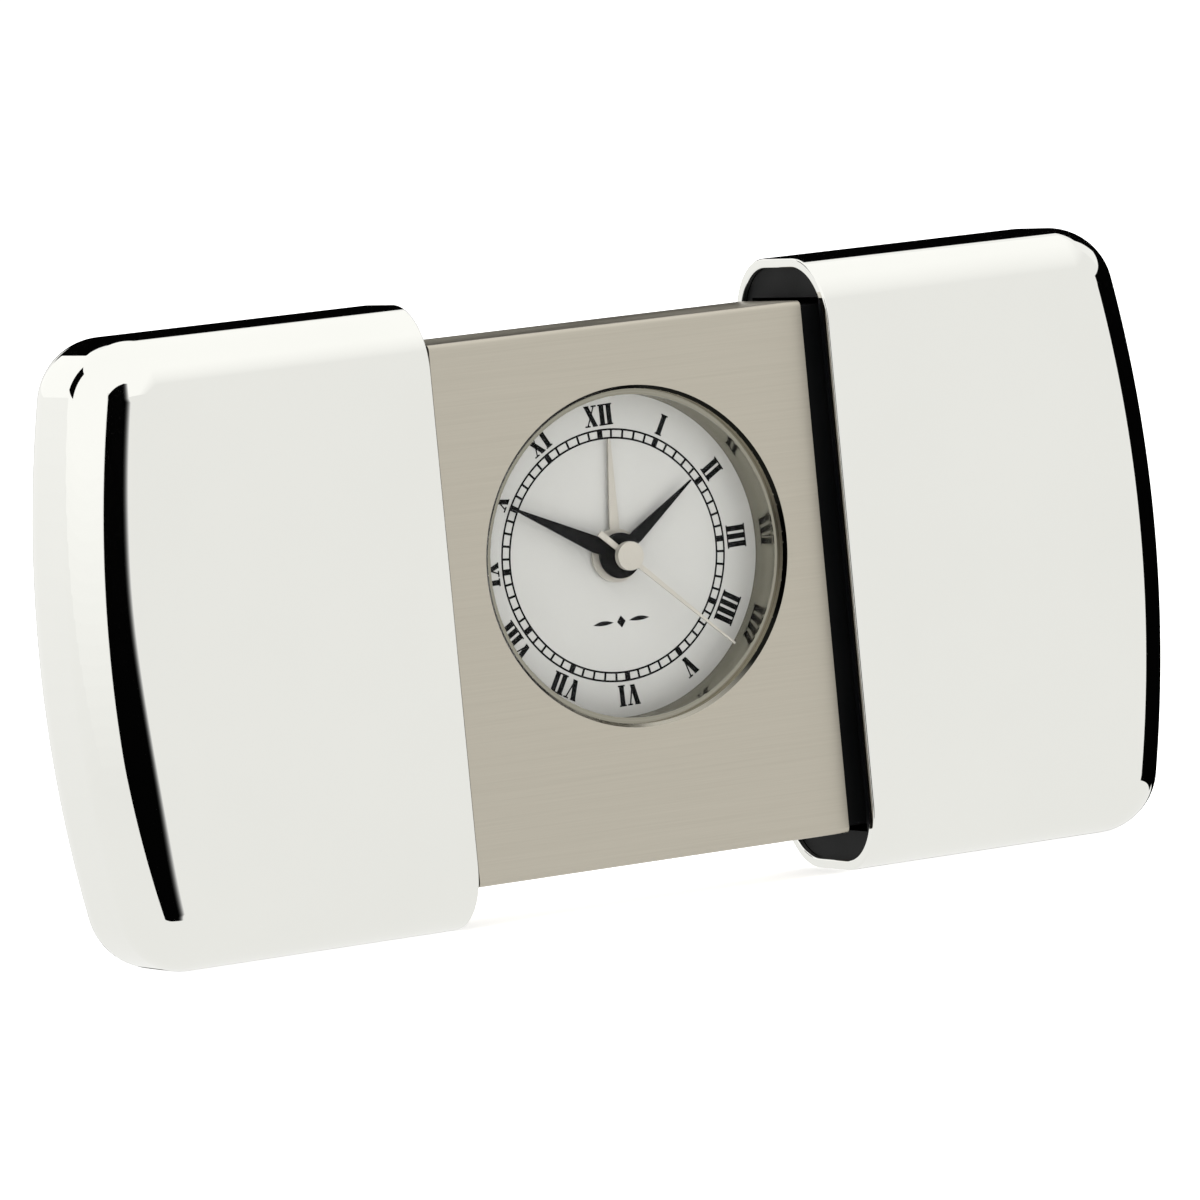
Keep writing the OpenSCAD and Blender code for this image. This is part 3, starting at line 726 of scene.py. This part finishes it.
def card(name, az0, az1, radius, low, high, rgb, steps=24, strength=1.0):
    """A curved card round the object; low and high give its edges along it, from 0 to 1."""
    verts = []
    faces = []
    for i in range(steps + 1):
        t = i / steps
        a = math.radians(az0 + (az1 - az0) * t)
        x = -radius * math.sin(a)
        y = -radius * math.cos(a)
        verts += [(x, y, low(t)), (x, y, high(t))]
    for i in range(steps):
        faces.append((2 * i, 2 * i + 2, 2 * i + 3, 2 * i + 1))
    only_in_reflections(stage_mesh(name, verts, faces, emitter(name, rgb, strength)))


def glow_sheet(name, corners, z, rgb, strength=1.0):
    """A level glowing sheet, seen only in reflections."""
    verts = [(x, y, z) for x, y in corners]
    faces = [tuple(range(len(corners)))]
    only_in_reflections(stage_mesh(name, verts, faces, emitter(name, rgb, strength)))


def square(half):
    """Corners of a level square about the origin."""
    return [(-half, -half), (half, -half), (half, half), (-half, half)]


def pale(name, lift):
    """Plain pale paper; lift is how much light it seems to hold by itself."""
    m = Mat(name, (250, 250, 249), 0.7, 0.0)
    m.rough(m.noise(m.coords(), 0.02), 0.65, 0.75)
    m.bsdf.inputs["Emission Color"].default_value = (1, 1, 1, 1)
    m.bsdf.inputs["Emission Strength"].default_value = lift
    return m.mat


floor = stage_mesh("floor", [(x, y, 0) for x, y in square(half=6.0)], [(0, 1, 2, 3)],
                   pale("floor", lift=0.6))
floor.visible_glossy = False

# What the polished metal mirrors: a pale room, a brighter soft box above and dark cards.
# Azimuths are in degrees from the front (-Y), growing towards the left; lengths are in metres.
ROOM = (247, 247, 245)
ROOM_GLOW = 0.93  # strength of white that looks as bright as the room
WHITE = (255, 255, 253)
DARK = (3, 3, 3)
glow_sheet("table_glow", square(half=9.0), -0.5, ROOM)
card("room_glow", -180, 180, 8.0, lambda t: -0.6, lambda t: 14.0, ROOM, steps=48)

# The soft box ends along the slanting line from A to B and fades out beyond it
EDGE_A = (-0.26, -1.4)
EDGE_B = (0.38, 0.2)
BOX_LEFT = -0.9
BOX_REAR = 0.9
BOX_Z = 0.5
BOX_GLOW = 1.12
BOX_FADE = 0.34  # width of the fade, drawn in thin slices
BOX_SLICES = 16
glow_sheet("soft_box",
           [(BOX_LEFT, EDGE_A[1]), EDGE_A, EDGE_B, (EDGE_B[0], BOX_REAR), (BOX_LEFT, BOX_REAR)],
           BOX_Z, WHITE, BOX_GLOW)
for i in range(BOX_SLICES):
    near = BOX_FADE * i / BOX_SLICES
    far = BOX_FADE * (i + 1) / BOX_SLICES
    glow_sheet("soft_box_fade_%02d" % i,
               [(EDGE_A[0] + near, EDGE_A[1]), (EDGE_A[0] + far, EDGE_A[1]),
                (EDGE_B[0] + far, EDGE_B[1]), (EDGE_B[0] + near, EDGE_B[1])],
               BOX_Z, WHITE, BOX_GLOW + (ROOM_GLOW - BOX_GLOW) * (i + 0.5) / BOX_SLICES)

# White behind the dark cards
card("card_white_back", -262, -90, 0.45, lambda t: 0.2, lambda t: 0.9, WHITE)

# The glow that the left end mirrors grows with the height, in thin slices
GLOW_R = 0.42
GLOW_AZ = (66, 176)
GLOW_LOW = -0.06  # it grows from this height to the next one and stays even above
GLOW_HIGH = 0.11
GLOW_TOP = 0.48
GLOW_SLICES = 16
GLOW_GAIN = 0.19  # how much it grows up to glow_turn, and how much beyond
GLOW_END_GAIN = 0.09
TURN_Z = -0.02  # at this height glow_turn is TURN_AZ; it grows by TURN_RISE per metre
TURN_AZ = 112.0
TURN_RISE = 280.0
TURN_MOST = 146.0


def glow_turn(z):
    """Azimuth beyond which the glow is fainter."""
    return min(TURN_MOST, TURN_AZ + TURN_RISE * (z - TURN_Z))


for i in range(GLOW_SLICES):
    near = GLOW_LOW + (GLOW_HIGH - GLOW_LOW) * i / GLOW_SLICES
    far = GLOW_LOW + (GLOW_HIGH - GLOW_LOW) * (i + 1) / GLOW_SLICES
    t = (i + 0.5) / GLOW_SLICES
    card("left_glow_%02d" % i, GLOW_AZ[0], glow_turn(near), GLOW_R,
         lambda _: near, lambda _: far, WHITE, strength=ROOM_GLOW + GLOW_GAIN * t)
    card("left_glow_end_%02d" % i, glow_turn(near), GLOW_AZ[1], GLOW_R,
         lambda _: near, lambda _: far, WHITE, strength=ROOM_GLOW + GLOW_END_GAIN * t)
card("left_glow_top", GLOW_AZ[0], GLOW_AZ[1], GLOW_R,
     lambda _: GLOW_HIGH, lambda _: GLOW_TOP, WHITE, strength=BOX_GLOW)

# The dark blade that the left shell mirrors, with a soft edge towards the front
BLADE_R = 0.38
BLADE_LOW = -0.15  # its two tips
BLADE_HIGH = 0.34
BACK_LOW = -0.04  # heights between which its back edge is straight
BACK_HIGH = 0.18
BACK_AZ = 65.0
TIP_AZ = 35.0  # where the back edge ends at both tips
FRONT_AZ = 36.0
STEP_Z = 0.05  # the front edge steps back by STEP_AZ over the height STEP_HEIGHT
STEP_HEIGHT = 0.09
STEP_AZ = 5.0
SWELL_Z = -0.03  # and swells forwards by SWELL_AZ about this height
SWELL_HEIGHT = 0.045
SWELL_AZ = 11.0
LOW_TIP_POWER = 0.33  # how bluntly the lower tip closes
BLADE_FADE = 8.5  # width of the soft edge in degrees, drawn in thin slices
BLADE_SLICES = 24


def rise(x, start, width):
    """From 0 at start to 1 at start + width, level on both sides."""
    return min(1.0, max(0.0, (x - start) / width))


def blade_front(z):
    """Azimuth of the blade's front edge."""
    step = rise(z, STEP_Z, STEP_HEIGHT)
    swell = math.exp(-((z - SWELL_Z) / SWELL_HEIGHT) ** 2)
    return FRONT_AZ + STEP_AZ * step - SWELL_AZ * swell


def blade_back(z):
    """Azimuth of its back edge: straight in the middle, closing in at both tips."""
    if z > BACK_HIGH:
        reach = math.sqrt(max(0.0, (BLADE_HIGH - z) / (BLADE_HIGH - BACK_HIGH)))
    elif z < BACK_LOW:
        reach = max(0.0, (z - BLADE_LOW) / (BACK_LOW - BLADE_LOW)) ** LOW_TIP_POWER
    else:
        reach = 1.0
    return TIP_AZ + (BACK_AZ - TIP_AZ) * reach


def blade(name, front, back, shade, across, rows=60):
    """A curved upright card whose edges are functions of the height."""
    verts = []
    faces = []
    for i in range(rows + 1):
        z = BLADE_LOW + (BLADE_HIGH - BLADE_LOW) * i / rows
        wide = max(0.0, back(z) - front(z))
        for k in range(across + 1):
            a = math.radians(front(z) + wide * k / across)
            verts.append((-BLADE_R * math.sin(a), -BLADE_R * math.cos(a), z))
    for i in range(rows):
        for k in range(across):
            at = i * (across + 1) + k
            faces.append((at, at + 1, at + across + 2, at + across + 1))
    only_in_reflections(stage_mesh(name, verts, faces, emitter(name, (shade, shade, shade))))


blade("card_left", blade_front, blade_back, DARK[0], across=8)
for i in range(BLADE_SLICES):
    near = -BLADE_FADE * (i + 1) / BLADE_SLICES
    far = -BLADE_FADE * i / BLADE_SLICES
    t = (i + 0.5) / BLADE_SLICES
    shade = 6 + 240 * t ** 1.3  # from nearly black to nearly white
    blade("card_left_fade_%02d" % i, lambda z: blade_front(z) + near,
          lambda z: blade_front(z) + far, shade, across=1)

# The dark cards on the right, behind, behind on the left and at the far left
DARK_R = 0.42
card("card_right", -112, -72, DARK_R, lambda t: -0.13, lambda t: 0.2 - 0.05 * t, DARK)
card("card_back", -172, -112, DARK_R, lambda t: -0.1, lambda t: 0.45 - 0.08 * t, DARK)
card("card_back_left", -193, -172, DARK_R, lambda t: 0.19,
     lambda t: 0.275 + 0.175 * rise(t, 0.5, 0.35), DARK)
card("card_far_left", 131, 149, DARK_R - 0.01, lambda t: 0.12 + 0.03 * t, lambda t: 0.34,
     DARK)

# A large soft lamp overhead
lamp_data = bpy.data.lights.new("overhead", "AREA")
lamp_data.energy = 14.0
lamp_data.size = 1.6
lamp = bpy.data.objects.new("overhead", lamp_data)
lamp.location = (-0.2, -0.3, 1.6)
lamp.rotation_euler = (Vector((0, 0, 0)) - lamp.location).to_track_quat("-Z", "Y").to_euler()
lamp.visible_glossy = False
scene.collection.objects.link(lamp)
